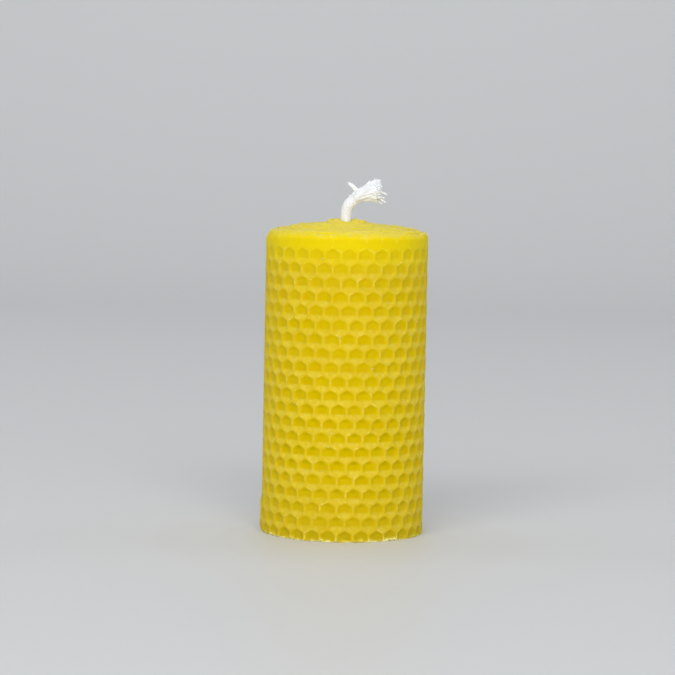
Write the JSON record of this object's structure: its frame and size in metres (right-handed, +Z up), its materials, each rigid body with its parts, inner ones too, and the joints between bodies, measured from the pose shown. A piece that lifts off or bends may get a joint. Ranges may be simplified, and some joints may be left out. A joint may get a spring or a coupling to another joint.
{
  "type": "rolled honeycomb candle",
  "caption": "Free-standing pillar candle of yellow honeycomb wax sheet rolled round a cotton wick that bends over into a frayed white tip.",
  "frame": {"origin": "on the wick's axis, in the plane of the flat base that the roll stands on", "axes": "+Z up along the wick, +X to the right in the picture, which the wick bends towards, and -Y towards its camera"},
  "size_m": [0.0538, 0.0528, 0.1179],
  "materials": {
    "wax": "yellow beeswax sheet, embossed, satin, slightly translucent",
    "cotton": "undyed braided cotton, matte, frayed at its end"
  },
  "bodies": {
    "root": {"core_strip": "wax", "inner_strip": "wax", "middle_strip": "wax", "outer_strip": "wax", "wick": "cotton", "wick_tuft": "cotton", "loose_strand": "cotton"}
  },
  "joints": []
}
